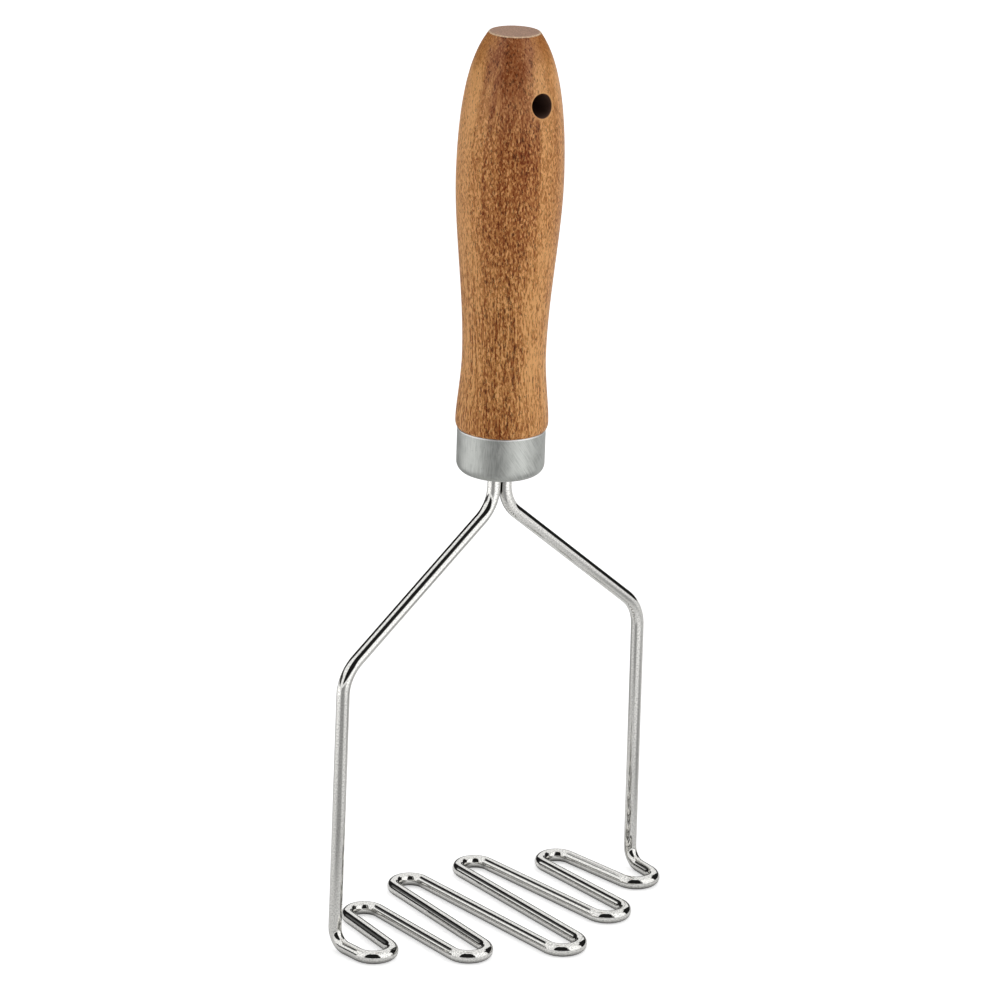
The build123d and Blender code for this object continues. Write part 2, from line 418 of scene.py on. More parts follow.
def rounded_line(corners, radii):
    """Stations along straight runs joined by tangent arcs, with their directions and sides.

    An arc of radius r that turns by t starts r tan(t / 2) before its corner. Its stations are the
    arc's start turned about its centre, and the direction and the side vector turn with it.
    """
    headings = unit(np.diff(corners, axis=0))
    turns = np.arccos(np.clip(np.sum(headings[:-1] * headings[1:], axis=1), -1, 1))
    trims = np.concatenate(((0,), radii * np.tan(turns / 2), (0,)))[:, None]
    starts = corners[:-1] + headings * trims[:-1]
    ends = corners[1:] - headings * trims[1:]
    side = np.array((0.0, 1.0, 0.0))
    points, ways, sides = [], [], []
    for k, heading in enumerate(headings):
        run = np.linspace(0, 1, 1 + ceil(np.linalg.norm(ends[k] - starts[k]) / WIRE_RUN_STEP))
        points.append(starts[k] + run[:, None] * (ends[k] - starts[k]))
        ways.append(np.repeat(heading[None], len(run), axis=0))
        sides.append(np.repeat(side[None], len(run), axis=0))
        if k < len(turns):
            axis = unit(np.cross(heading, headings[k + 1]))
            angles = np.linspace(0, turns[k], 1 + ceil(turns[k] / WIRE_TURN_STEP))
            to_centre = radii[k] * np.cross(axis, heading)
            points.append(ends[k] + to_centre + turned(-to_centre, axis, angles[1:-1]))
            ways.append(turned(heading, axis, angles[1:-1]))
            sides.append(turned(side, axis, angles[1:-1]))
            side = turned(side, axis, angles[-1:])[0]
    return np.concatenate(points), np.concatenate(ways), np.concatenate(sides)


def wire_mesh(s):
    """The wire's surface: a circle carried along its line.

    Point (i, j) is station i plus the wire's radius times cos(a_j) of the side vector and sin(a_j)
    of the third vector. The first and last rings are drawn in by the chamfer and close on poles.
    """
    points, ways, sides = rounded_line(*wire_corners(s))
    poles = points[[0, -1]]
    points, ways, sides = (np.concatenate((a[:1], a, a[-1:])) for a in (points, ways, sides))
    points[1] += s.end_chamfer * ways[1]
    points[-2] -= s.end_chamfer * ways[-2]
    radii = np.full(len(points), s.wire_diameter / 2)
    radii[[0, -1]] -= s.end_chamfer
    angles = full_turn(WIRE_SIDES)[None, :, None]
    ring = np.cos(angles) * sides[:, None] + np.sin(angles) * np.cross(ways, sides)[:, None]
    surface = points[:, None] + radii[:, None, None] * ring
    numbers = grid_numbers(surface)
    faces = [quads(numbers), fan(numbers[0, ::-1], numbers.size), fan(numbers[-1], numbers.size + 1)]
    lay = [grid_lay(pi * s.wire_diameter, travelled(points), WIRE_SIDES), np.zeros((2 * WIRE_SIDES * 3, 2))]
    return new_mesh("wire", np.concatenate((surface.reshape(-1, 3), poles)), faces, lay)


def grid_lay(girth, travel, columns):
    """Way round and way along for each face corner that quads gives on a closed grid."""
    round_way = np.broadcast_to(np.arange(columns + 1) * (girth / columns), (len(travel), columns + 1))
    along_way = np.broadcast_to(travel[:, None], round_way.shape)
    return cells(np.stack((round_way, along_way), axis=-1)).reshape(-1, 2)


# Ferrule

FERRULE_SIDES = 160
FERRULE_STEP = 0.7 * MM
FERRULE_ARC_STEPS = 10
FERRULE_FLOOR_STEPS = 12
FERRULE_EDGE_STEPS = 5
FERRULE_TIP_STEPS = 6


def slot_reach(angles, half_length, half_width):
    """Distance from the axis to the slot's outline at each angle.

    The outline is two half circles joined by straight sides: at the sides the distance is the half
    width over |sin|, and at the ends it is where the ray meets the circle about the end's centre.
    """
    end = half_length - half_width
    across, along = np.abs(np.sin(angles)), np.abs(np.cos(angles))
    side = half_width / np.maximum(across, half_width / half_length)
    tip = end * along + np.sqrt(np.maximum(half_width**2 - (end * across) ** 2, 0))
    return np.where(side * along < end, side, tip)


def ferrule_mesh(s, wire):
    """The cup's whole skin, a closed profile carried round the axis.

    A row has a radius, a height, a part played by the slot and an offset from it: its distance
    from the axis blends from the slot's outline plus the offset, at 1, to the radius, at 0.
    """
    outer = ferrule_high.x
    base, rim = ferrule_low.z, ferrule_high.z
    inner, floor = outer - s.wall, base + s.wall
    inner_bottom = s.bottom_radius - s.wall
    flat = outer - s.bottom_radius
    blend = np.linspace(1, 0, FERRULE_FLOOR_STEPS)
    edge = np.linspace(0, pi / 2, FERRULE_EDGE_STEPS)
    corner = np.linspace(-pi / 2, 0, FERRULE_ARC_STEPS)
    back = corner[::-1]
    tip = np.linspace(0, pi / 2, FERRULE_TIP_STEPS)
    tip_drop = s.rim_radius * (1 - np.sin(tip))
    tip_inset = s.rim_radius * (1 - np.cos(tip))
    edge_in, edge_up = s.slot_edge * (1 - np.sin(edge)), s.slot_edge * (1 - np.cos(edge))
    bottom, side_top = base + s.bottom_radius, rim - s.rim_radius
    rows = [
        profile(flat, base, blend, s.slot_edge),
        profile(flat + s.bottom_radius * np.cos(corner[1:]), bottom + s.bottom_radius * np.sin(corner[1:])),
        profile(outer, steps_between(bottom, side_top, FERRULE_STEP)[1:]),
        profile(outer - tip_inset, rim - tip_drop),
        profile(inner + tip_inset[::-1], rim - tip_drop[::-1]),
        profile(inner, steps_between(side_top, bottom, FERRULE_STEP)[1:]),
        profile(flat + inner_bottom * np.cos(back), floor + inner_bottom * (1 + np.sin(back))),
        profile(flat, floor, blend[::-1][1:], s.slot_edge),
        profile(0, floor - edge_up[1:], 1, edge_in[1:]),
        profile(0, base + edge_in[:-1], 1, edge_up[:-1]),
    ]
    radius, height, part, offset = np.concatenate(rows, axis=1)[:, :, None]
    angles = full_turn(FERRULE_SIDES)
    half_width = wire.wire_diameter / 2 + s.slot_clearance
    half_length = half_width + (wire.wire_diameter + wire.neck_gap) / 2
    slot = slot_reach(angles, half_length, half_width) + offset
    surface = round_grid(part * slot + (1 - part) * radius, height, angles)
    numbers = grid_numbers(surface)
    numbers = np.concatenate((numbers, numbers[:1]))
    travel = travelled(np.concatenate((surface[:, 0], surface[:1, 0])))
    lay = [grid_lay(2 * pi * outer, travel, FERRULE_SIDES)]
    return new_mesh("ferrule", surface.reshape(-1, 3), [quads(numbers)], lay)


def profile(radius, height, part=0, offset=0):
    """Rows of the ferrule's profile."""
    return np.stack(np.broadcast_arrays(radius, height, part, offset))


# Handle

HANDLE_SIDES = 180
HANDLE_STEP = 0.7 * MM
PATCH_COLUMNS = 11
PATCH_HALF_HEIGHT = 5.5 * MM
OUTLINE_POINTS = 400
EDGE_POINTS = 24
TOP_ARC_POINTS = 9
DISC_POINTS = 8
BORE_STEP = 3 * MM
SPIGOT_STEP = 1.5 * MM
SPIGOT_ARC_POINTS = 8
OVER_ROWS = 9
MOUTH_ROWS = 8
HOLE_ROWS = 12


def visible_outline(s):
    """Outline of the wood above the ferrule, as radius and height, up to the rounded top edge.

    The lower edge is a quarter of an ellipse. Three cubic curves follow: shoulder to waist, waist
    to palm, both upright at their ends, and palm to top.
    """
    rim, top_height = ferrule_high.z, handle_high.z
    seat = ferrule_high.x - s.seat_inset
    shoulder = (ferrule_high.x + s.shoulder_overhang, rim + s.shoulder_rise)
    waist = (s.waist_diameter / 2, rim + s.waist_rise)
    palm = (s.palm_diameter / 2, top_height - s.palm_drop)
    top = (s.top_diameter / 2, top_height)
    above_palm = palm[1] + s.palm_holds[1] * (top[1] - palm[1])
    across, down = s.top_holds
    beside_top = (top[0] + across * (palm[0] - top[0]), top[1] - down * (top[1] - palm[1]))
    angles = np.linspace(-pi / 2, 0, EDGE_POINTS)
    edge_radius = seat + (shoulder[0] - seat) * np.cos(angles)
    edge = np.stack((edge_radius, shoulder[1] + s.shoulder_rise * np.sin(angles)), -1)
    lower = upright_curve(shoulder, waist, s.shoulder_hold, s.waist_holds[0])
    middle = upright_curve(waist, palm, s.waist_holds[1], s.palm_holds[0])
    upper = curve(palm, (palm[0], above_palm), beside_top, top, OUTLINE_POINTS)
    return edge, np.concatenate((lower, middle[1:], upper[1:]))


def upright_curve(low, high, low_hold, high_hold):
    """Cubic curve between two points of the outline that runs straight up at both."""
    rise = high[1] - low[1]
    after_low, before_high = (low[0], low[1] + low_hold * rise), (high[0], high[1] - high_hold * rise)
    return curve(low, after_low, before_high, high, OUTLINE_POINTS)


def rounded_corner(before, corner, after, radius, count):
    """Arc of a radius that meets the two straight lines of a corner in a plane."""
    first, second = unit(np.array(before) - corner), unit(np.array(after) - corner)
    half = np.arccos(first @ second) / 2
    centre = corner + unit(first + second) * radius / sin(half)
    start = corner + first * radius / np.tan(half) - centre
    end = corner + second * radius / np.tan(half) - centre
    angles = np.linspace(0, 1, count)[:, None] * (pi - 2 * half)
    sweep = unit(end - start * (start @ end) / (start @ start)) * radius
    return centre + np.cos(angles) * start + np.sin(angles) * sweep


def handle_mesh(s):
    """The wood's whole skin: an outline turned about the axis, with a sleeve for the hang hole.

    The outline runs from the blind end of the tangs' bore, down it, round the spigot and up the
    outside to the top. Two windows are left open in the turned grid. The sleeve joins them: its
    columns are rays from the hole's axis through the window's border points, and its rows run in
    over the front, over a rounded mouth, through the hole and out over the back.
    """
    edge, outside = visible_outline(s)
    hole_height = handle_high.z - s.hole_drop
    low, high = hole_height - PATCH_HALF_HEIGHT, hole_height + PATCH_HALF_HEIGHT
    top_arc = rounded_corner(outside[-2], outside[-1], (0, handle_high.z), s.top_edge, TOP_ARC_POINTS)
    stops = (edge[-1, 1], low, high, top_arc[0, 1])
    heights = np.concatenate([steps_between(a, b, HANDLE_STEP) for a, b in zip(stops, stops[1:])])
    body = np.stack((np.interp(heights, outside[:, 1], outside[:, 0]), heights), -1)
    inside = hidden_outline(s)
    disc_reach = np.linspace(top_arc[-1, 0], 0, DISC_POINTS)[1:-1]
    disc = np.stack((disc_reach, np.full(len(disc_reach), handle_high.z)), -1)
    outline = np.concatenate((inside, edge[:-1], body, top_arc, disc))
    turned_grid = round_grid(outline[:, :1], outline[:, 1:], full_turn(HANDLE_SIDES))
    numbers = grid_numbers(turned_grid)
    first_row = len(inside) + len(edge) - 1
    bottom_row, top_row = (first_row + int(np.argmin(np.abs(heights - level))) for level in (low, high))
    front, back = HANDLE_SIDES * 3 // 4, HANDLE_SIDES // 4
    border_rows, offset = window_border(bottom_row, top_row, PATCH_COLUMNS)
    border_front, border_back = numbers[border_rows, front + offset], numbers[border_rows, back - offset]
    flat_points = turned_grid.reshape(-1, 3)
    sleeve = hole_sleeve(s, flat_points[border_front], hole_height, outside)
    sleeve_numbers = grid_numbers(sleeve, numbers.size)
    first_pole = numbers.size + sleeve_numbers.size
    sleeve_numbers = np.concatenate((border_front[None], sleeve_numbers, border_back[None]))
    skin = quads(numbers)
    cell_row, cell_column = np.divmod(np.arange(len(skin)), HANDLE_SIDES)
    in_rows = (cell_row >= bottom_row) & (cell_row < top_row)
    in_windows = np.zeros(len(skin), bool)
    for middle in (front, back):
        left, right = middle - PATCH_COLUMNS, middle + PATCH_COLUMNS
        in_windows |= in_rows & (cell_column >= left) & (cell_column < right)
    skin = skin[~in_windows]
    poles = np.array(((0, 0, inside[0, 1]), (0, 0, handle_high.z)))
    caps = [fan(numbers[0, ::-1], first_pole), fan(numbers[-1], first_pole + 1)]
    faces = [skin, quads(sleeve_numbers), *caps]
    return new_mesh("handle", np.concatenate((flat_points, sleeve.reshape(-1, 3), poles)), faces)


def hidden_outline(s):
    """Outline of the wood from the blind end of the bore down to the spigot and up to its seat."""
    bore = s.bore_diameter / 2
    spigot = ferrule_high.x - s.spigot_inset
    foot = handle_low.z
    rim = ferrule_high.z
    wall = steps_between(bore_top, foot, BORE_STEP)
    centre = (spigot - s.spigot_edge, foot + s.spigot_edge)
    corner = arc(centre, s.spigot_edge, -pi / 2, 0, SPIGOT_ARC_POINTS)
    side = steps_between(foot + s.spigot_edge, rim, SPIGOT_STEP)[1:]
    return np.concatenate(
        (
            np.stack((np.full(len(wall), bore), wall), -1),
            ((bore, foot),),
            corner,
            np.stack((np.full(len(side), spigot), side), -1),
            ((spigot, rim),),
        )
    )


def window_border(bottom, top, half_width):
    """Rows and column offsets of the points round a window in the grid, counter-clockwise."""
    across, up = np.arange(-half_width, half_width), np.arange(bottom, top)
    rows = (np.full(len(across), bottom), up, np.full(len(across), top), up[::-1] + 1)
    columns = (across, np.full(len(up), half_width), -across, np.full(len(up), -half_width))
    return np.concatenate(rows), np.concatenate(columns)


def hole_sleeve(s, border, height, outside):
    """Rows of the hang hole's sleeve between the two windows, whose points lie on rays.

    Seen along the hole, a point is at a distance d and an angle from its axis. On the wood its
    depth is the root of R(z) squared less x squared. A mouth is a curve that leaves the wood one
    edge radius outside the hole's wall and meets the wall one edge radius below the wood.
    """
    radius = s.hole_diameter / 2
    x, z = border[:, 0], border[:, 2] - height
    away, angle = np.hypot(x, z), np.arctan2(z, x)

    def depth(distance):
        wood = np.interp(height + distance * np.sin(angle), outside[:, 1], outside[:, 0])
        return np.sqrt(wood**2 - (distance * np.cos(angle)) ** 2)

    mouth = radius + s.hole_edge
    inward = np.linspace(1, 0, OVER_ROWS)[1:, None]
    over = mouth + inward * (away - mouth)
    t = np.linspace(0, 1, MOUTH_ROWS)[1:, None]
    turn_in = radius + s.hole_edge * (1 - t) ** 2
    wall_end = depth(radius) - s.hole_edge
    drop = (1 - t) ** 2 * depth(mouth) + 2 * t * (1 - t) * depth(radius) + t**2 * wall_end
    wall_depth = np.linspace(1, 0, HOLE_ROWS)[1:, None] * wall_end
    distance = np.concatenate((over, turn_in + 0 * drop, radius + 0 * wall_depth))
    reach = np.concatenate((np.stack([depth(row) for row in over]), drop, wall_depth))
    distance = np.concatenate((distance, distance[-2::-1]))
    reach = np.concatenate((-reach, reach[-2::-1]))
    return np.stack((distance * np.cos(angle), reach, height + distance * np.sin(angle)), -1)


# Finishes

# Where most of a grain's levels lie, and reliefs with their strength and depth
MAIN_SPAN = (0.3, 0.7)
WOOD_RELIEF = (0.25, 0.06 * MM)
WIRE_RELIEF = (0.35, 0.012 * MM)
FERRULE_RELIEF = (0.4, 0.02 * MM)
GLUE_RELIEF = (0.4, 0.05 * MM)


def new_material(name):
    """Empty material with its one surface shader wired to the output."""
    material = bpy.data.materials.new(name)
    material.use_nodes = True
    tree = material.node_tree
    tree.nodes.clear()
    surface = tree.nodes.new("ShaderNodeBsdfPrincipled")
    output = tree.nodes.new("ShaderNodeOutputMaterial")
    tree.links.new(surface.outputs["BSDF"], output.inputs["Surface"])
    return material, tree, surface


def finish(tree, surface, tone, roughness, level, relief):
    """Wires a surface's tone, its roughness and its relief, which follows a level."""
    strength, depth = relief
    tree.links.new(tone, surface.inputs["Base Color"])
    tree.links.new(roughness, surface.inputs["Roughness"])
    bump = add_node(tree, "ShaderNodeBump", {"Strength": strength, "Distance": depth, "Height": level})
    tree.links.new(bump.outputs["Normal"], surface.inputs["Normal"])


def add_node(tree, kind, inputs=None, **settings):
    """Node with its settings, and with each input set to a value or linked to an output."""
    node = tree.nodes.new(kind)
    for name, value in settings.items():
        setattr(node, name, value)
    for name, value in (inputs or {}).items():
        fill(tree, node.inputs[name], value)
    return node


def fill(tree, socket, value):
    """Links an output to a socket, or sets the socket to a value."""
    if isinstance(value, bpy.types.NodeSocket):
        tree.links.new(value, socket)
    elif socket.type == "RGBA" and len(value) == 3:
        socket.default_value = (*value, 1.0)
    else:
        socket.default_value = value


def maths(tree, operation, *values):
    """Output of a Math node."""
    return add_node(tree, "ShaderNodeMath", dict(enumerate(values)), operation=operation).outputs[0]


def vector_maths(tree, operation, *values):
    """Output of a Vector Math node: a value for a length or a dot product, or else a vector."""
    node = add_node(tree, "ShaderNodeVectorMath", dict(enumerate(values)), operation=operation)
    return node.outputs["Value" if operation in ("LENGTH", "DOT_PRODUCT") else "Vector"]


def product(tree, first, second):
    """Product of two values."""
    return maths(tree, "MULTIPLY", first, second)


def added(tree, onto, level, amount):
    """A level times an amount, on top of another value."""
    return maths(tree, "MULTIPLY_ADD", level, amount, onto)


def swing(tree, level):
    """How far a level is from one half."""
    return maths(tree, "SUBTRACT", level, 0.5)


def between(tree, part, first, second):
    """Value between two others."""
    return added(tree, first, part, maths(tree, "SUBTRACT", second, first))


def spread(tree, value, low, high, new_low=0.0, new_high=1.0):
    """A value mapped from one span to another, held at the ends."""
    inputs = {"Value": value, "From Min": low, "From Max": high, "To Min": new_low, "To Max": new_high}
    return add_node(tree, "ShaderNodeMapRange", inputs, interpolation_type="SMOOTHSTEP").outputs["Result"]


def graded(tree, level, low, high):
    """A value that goes from low to high as a level goes from 0 to 1."""
    return spread(tree, level, 0.0, 1.0, low, high)


def mixed(tree, part, first, second, blend="MIX"):
    """Colour between two others, or the first with the second laid over it."""
    inputs = {0: part, 6: first, 7: second}
    return add_node(tree, "ShaderNodeMix", inputs, data_type="RGBA", blend_type=blend).outputs[2]


def layered(tree, tone, layers, blend="MIX"):
    """A tone with colours laid over it in turn, each by its part."""
    for part, colour in layers:
        tone = mixed(tree, part, tone, colour, blend)
    return tone


def dimmed(colour, part):
    """A colour at a part of its lightness."""
    return tuple(part * x for x in colour)


def object_place(tree):
    """Place on the object, and its X, Y and Z."""
    place = add_node(tree, "ShaderNodeTexCoord").outputs["Object"]
    return place, *add_node(tree, "ShaderNodeSeparateXYZ", {"Vector": place}).outputs


def facing(tree, vector, turn):
    """How far a vector reaches toward a bearing, which is the cosine if its length is 1."""
    return vector_maths(tree, "DOT_PRODUCT", vector, level_way(turn))


def level_way(turn):
    """Level unit vector at a bearing, 0 in front."""
    return sin(turn), -cos(turn), 0.0


def new_group(name, inputs):
    """Node group with float or vector inputs, given as defaults, and its one output, a level."""
    group = bpy.data.node_groups.new(name, "ShaderNodeTree")
    for label, value in inputs.items():
        kind = "NodeSocketFloat" if isinstance(value, float) else "NodeSocketVector"
        socket = group.interface.new_socket(label, in_out="INPUT", socket_type=kind)
        socket.default_value = value
    group.interface.new_socket("Level", in_out="OUTPUT", socket_type="NodeSocketFloat")
    given = group.nodes.new("NodeGroupInput").outputs
    return group, given, group.nodes.new("NodeGroupOutput").inputs["Level"]


def group_level(tree, name, build, inputs):
    """Level that a node group puts out. The group is built at its first use."""
    node = tree.nodes.new("ShaderNodeGroup")
    node.node_tree = bpy.data.node_groups.get(name) or build(name)
    for label, value in inputs.items():
        fill(tree, node.inputs[label], value)
    return node.outputs["Level"]


def drawn_grain(name):
    """Noise whose grains have their own size along each axis, from 0 to 1 about one half."""
    inputs = {"Place": (0.0, 0.0, 0.0), "Grains": (1.0, 1.0, 1.0), "Detail": 2.0}
    group, given, level = new_group(name, inputs)
    scaled = vector_maths(group, "MULTIPLY", given["Place"], given["Grains"])
    noise = {"Vector": scaled, "Scale": 1.0, "Detail": given["Detail"]}
    group.links.new(add_node(group, "ShaderNodeTexNoise", noise).outputs[0], level)
    return group


def grain(tree, place, grains, detail):
    """Level of drawn grain at a place, with the grains' number per metre along each axis."""
    inputs = {"Place": place, "Grains": grains, "Detail": detail}
    return group_level(tree, "Drawn Grain", drawn_grain, inputs)


def grain_cells(tree, place, grains):
    """Distance to the middle of stretched cells, and the three chance levels of each cell."""
    scaled = add_node(tree, "ShaderNodeMapping", {"Vector": place, "Scale": grains}).outputs["Vector"]
    cells = add_node(tree, "ShaderNodeTexVoronoi", {"Vector": scaled, "Scale": 1.0}).outputs
    return cells["Distance"], add_node(tree, "ShaderNodeSeparateColor", {"Color": cells["Color"]}).outputs


# Wood, with grains per metre across and along

WOOD_PLACE = (0.013, 0.031, 0.07)
FLECK_SHIFT = (0.05, 0.02, 0.01)
WOOD_LEAN = (0.04, 0.05, 0.4)
WOOD_FADE = (185 * MM, 235 * MM)
FIBRE_PITCH = 0.5 * MM
FIBRE_CONTRAST = 0.55
WOOD_RED = (1.0, 0.91, 0.95)
# Painted sheen: a greyer, bluer tint on the dome's dark side
DOME_SHEEN_TINT = (1.03, 1.12, 1.5)
LEVEL_AXES = (1.0, 1.0, 0.0)
HOLE_AXES = (1.0, 0.0, 1.0)
BANDS = (260.0, 260.0, 8.0)
CLOUDS = (120.0, 120.0, 36.0)
ROWS = (1000.0, 1000.0, 45.0)
DARK_SIDE_EDGE = (420.0, 420.0, 14.0)

# Short and long fibres: their grains, the specks mixed in and how much of them
SHORT_FIBRES = ((2600.0, 2600.0, 1050.0), (2500.0, 2500.0, 1100.0), 0.6)
LONG_FIBRES = ((2600.0, 2600.0, 170.0), (2600.0, 2600.0, 900.0), 0.5)

# Stretches where shades set in, as drops from the handle's top and a rise from the ferrule's rim
UPPER_DROPS = (48 * MM, 28 * MM)
DOME_DROPS = (38 * MM, 8 * MM)
CROWN_DROPS = (14 * MM, 1 * MM)
FOOT_RISE = 14 * MM

# Masks of the top in shares of its edge, and of the hang hole from its wall outward
TOP_START = (0.5, 0.1)
# Ring of painted highlight round the top's edge
HIGHLIGHT_RING_START = (0.4, 0.25)
HIGHLIGHT_RING_INSIDE = (0.35, 0.15)
# Painted shade inside the hang hole, from its wall outward
HOLE_SHADE_SPAN = (0.03 * MM, 0.15 * MM)
# Painted highlight round the hang hole's mouths, from its wall outward
MOUTH_HIGHLIGHT_SPAN = (0.3 * MM, 0.8 * MM)

# How dark the plain wood is, how close the pores and flecks stand, and how much each layer covers
PLAIN_DARKNESS = 0.19
PORE_DENSITY = 0.8
DARK_SIDE_PORE_DENSITY = 0.4
PORE_PART = 0.7
FLECK_DENSITY = 0.8
FLECK_PART = 0.45
TOP_PART = 0.8
# How much the painted highlight round the hang hole's mouths covers
HOLE_HIGHLIGHT_PART = 0.6

WOOD_SPECULAR = 0.1
OIL_ROUGHNESS = 0.28
PORE_CELLS = (2200.0, 2200.0, 520.0)
PORE_SHAKE = 2400.0
PORE_SHAKE_REACH = (0.5 * MM, 0.5 * MM, 0.9 * MM)


def wood_material(s):
    """Oiled open-pored wood, a solid pattern cut by the handle's surface.

    A darkness from 0 to 1 picks the tone, and its dark side is partly painted shade. Tints, one of them
    a painted sheen on the dome, light flecks and dark pores are laid over it, then the end grain of the
    top with painted light, painted highlights on the rims of the top and the hang hole, and painted shade
    inside the hole. The dome has the most sheen.
    """
    material, tree, surface = new_material("Oiled Wood")
    place, _, _, height = object_place(tree)
    outward = vector_maths(tree, "NORMALIZE", vector_maths(tree, "MULTIPLY", place, LEVEL_AXES))
    leaned, *beside = fibre_places(tree, place, outward)
    high = spread(tree, height, *WOOD_FADE)
    dome = below_top(tree, height, *DOME_DROPS)
    top, ring = top_masks(tree, place, height, s)
    painted_hole_shade, rim = hole_masks(tree, place, s)
    heart_and_shade = product(tree, wood_heart_and_shade(tree, place, outward, high, s), maths(tree, "SUBTRACT", 1.0, top))
    fibres = wood_fibres(tree, leaned, beside, high, heart_and_shade)
    rows = swing(tree, grain(tree, leaned, ROWS, 1.0))
    darkness = wood_darkness(tree, leaned, outward, height, high, dome, heart_and_shade, fibres, rows, s)
    dense = added(tree, PORE_DENSITY, heart_and_shade, DARK_SIDE_PORE_DENSITY)
    dense = added(tree, dense, rows, graded(tree, high, 1.8, 0.6))
    pores = product(tree, pore_level(tree, leaned, dense), PORE_PART)
    flecks = pore_level(tree, vector_maths(tree, "ADD", leaned, FLECK_SHIFT), FLECK_DENSITY)
    tints = (
        (product(tree, high, graded(tree, heart_and_shade, 0.15, 0.5)), WOOD_RED),
        # Painted sheen on the dome
        (product(tree, dome, heart_and_shade), DOME_SHEEN_TINT),
    )
    tone = layered(tree, wood_tone(tree, darkness, s), tints, "MULTIPLY")
    # End grain of the top, lightened and greyed as painted top light and sheen
    ends = (dimmed(s.end_grain_and_top_light, 1.2), dimmed(s.end_grain_and_top_light, 0.7))
    end_grain_and_top_light = mixed(tree, spread(tree, fibres, *MAIN_SPAN), *ends)
    layers = (
        (product(tree, flecks, FLECK_PART), s.fleck),
        (pores, s.pore),
        (product(tree, top, TOP_PART), end_grain_and_top_light),
        # Painted highlight round the hang hole's mouths
        (product(tree, rim, HOLE_HIGHLIGHT_PART), s.fleck),
        # Painted highlight round the top's edge
        (product(tree, ring, spread(tree, fibres, 0.38, 0.6, 0.95, 0.5)), s.edge_highlight),
        # Painted shade inside the hang hole
        (painted_hole_shade, s.painted_hole_shade),
    )
    tone = layered(tree, tone, layers)
    surface.inputs["Specular IOR Level"].default_value = WOOD_SPECULAR
    surface.inputs["Coat Roughness"].default_value = OIL_ROUGHNESS
    tree.links.new(added(tree, 0.12, dome, 0.18), surface.inputs["Coat Weight"])
    satin = spread(tree, fibres, *MAIN_SPAN, 0.40, 0.46)
    rough = added(tree, satin, maths(tree, "MAXIMUM", pores, painted_hole_shade), 0.35)
    relief = maths(tree, "SUBTRACT", product(tree, fibres, -1.2), pores)
    finish(tree, surface, tone, rough, relief, WOOD_RELIEF)
    return material


def wood_darkness(tree, leaned, outward, height, high, dome, heart_and_shade, fibres, rows, s):
    """Sum of the wood's shades.

    They are the dark side, which is partly painted shade, broad bands, clouds, the fibres, fine rows
    along them, the upper part of the dark side, the dome, the crown round the top, a side that is lighter
    low down and darkened high up as painted shade, and the foot.
    """
    contrast = product(tree, graded(tree, dome, 3.2, 1.6), graded(tree, heart_and_shade, 1.0, 1.2))
    # Side at the pale bearing: lighter low down, darkened as painted shade high up
    side_light_and_shade = product(tree, facing(tree, outward, s.side_light_bearing), graded(tree, dome, 1.0, 0.2))
    shades = (
        # Dark side near the front: partly the wood's figure, partly painted shade
        (heart_and_shade, added(tree, 0.20, high, 0.24)),
        (swing(tree, grain(tree, leaned, BANDS, 3.0)), 0.5),
        (swing(tree, grain(tree, leaned, CLOUDS, 3.0)), 0.45),
        (swing(tree, fibres), product(tree, contrast, graded(tree, high, 1.0, 0.76))),
        (rows, graded(tree, high, 0.9, 0.2)),
        (product(tree, below_top(tree, height, *UPPER_DROPS), heart_and_shade), 0.14),
        (dome, -0.05),
        (below_top(tree, height, *CROWN_DROPS), graded(tree, heart_and_shade, 0.36, 0.0)),
        (side_light_and_shade, graded(tree, high, -0.05, 0.12)),
        (spread(tree, height, ferrule_high.z, ferrule_high.z + FOOT_RISE, 1.0, 0.0), 0.14),
    )
    darkness = PLAIN_DARKNESS
    for level, amount in shades:
        darkness = added(tree, darkness, level, amount)
    return darkness


def wood_tone(tree, darkness, s):
    """Tone of the wood at a darkness, through four colours."""
    ramp = add_node(tree, "ShaderNodeValToRGB", {0: darkness})
    stops = ((0.0, s.fleck), (0.3, s.pale), (0.6, s.middle), (1.0, s.dark))
    for at, _ in stops[1:-1]:
        ramp.color_ramp.elements.new(at)
    for stop, (at, colour) in zip(ramp.color_ramp.elements, stops):
        stop.position = at
        stop.color = (*colour, 1.0)
    return ramp.outputs["Color"]


def below_top(tree, height, low_drop, high_drop):
    """0 below one drop from the handle's top, and 1 above the other."""
    return spread(tree, height, handle_high.z - low_drop, handle_high.z - high_drop)


def wood_heart_and_shade(tree, place, outward, high, s):
    """Dark, close-pored side of the wood near the front, partly the wood's figure and partly painted shade,
    narrower low down, whose border wavers along the grain.
    """
    waver = swing(tree, grain(tree, place, DARK_SIDE_EDGE, 3.0))
    edge = graded(tree, high, cos(s.dark_side_low_spread), cos(s.dark_side_spread))
    reached = added(tree, facing(tree, outward, s.dark_side_bearing), waver, 0.5)
    return spread(tree, reached, edge, cos(s.dark_side_full))


def fibre_places(tree, place, outward):
    """A place in the wood's own leaned frame, and the places one fibre to its right and left."""
    across = vector_maths(tree, "CROSS_PRODUCT", (0.0, 0.0, 1.0), outward)
    places = []
    for step in (0.0, FIBRE_PITCH, -FIBRE_PITCH):
        moved = vector_maths(tree, "MULTIPLY_ADD", across, (step, step, step), place)
        frame_turn = {"Vector": moved, "Location": WOOD_PLACE, "Rotation": WOOD_LEAN}
        places.append(add_node(tree, "ShaderNodeMapping", frame_turn).outputs["Vector"])
    return places


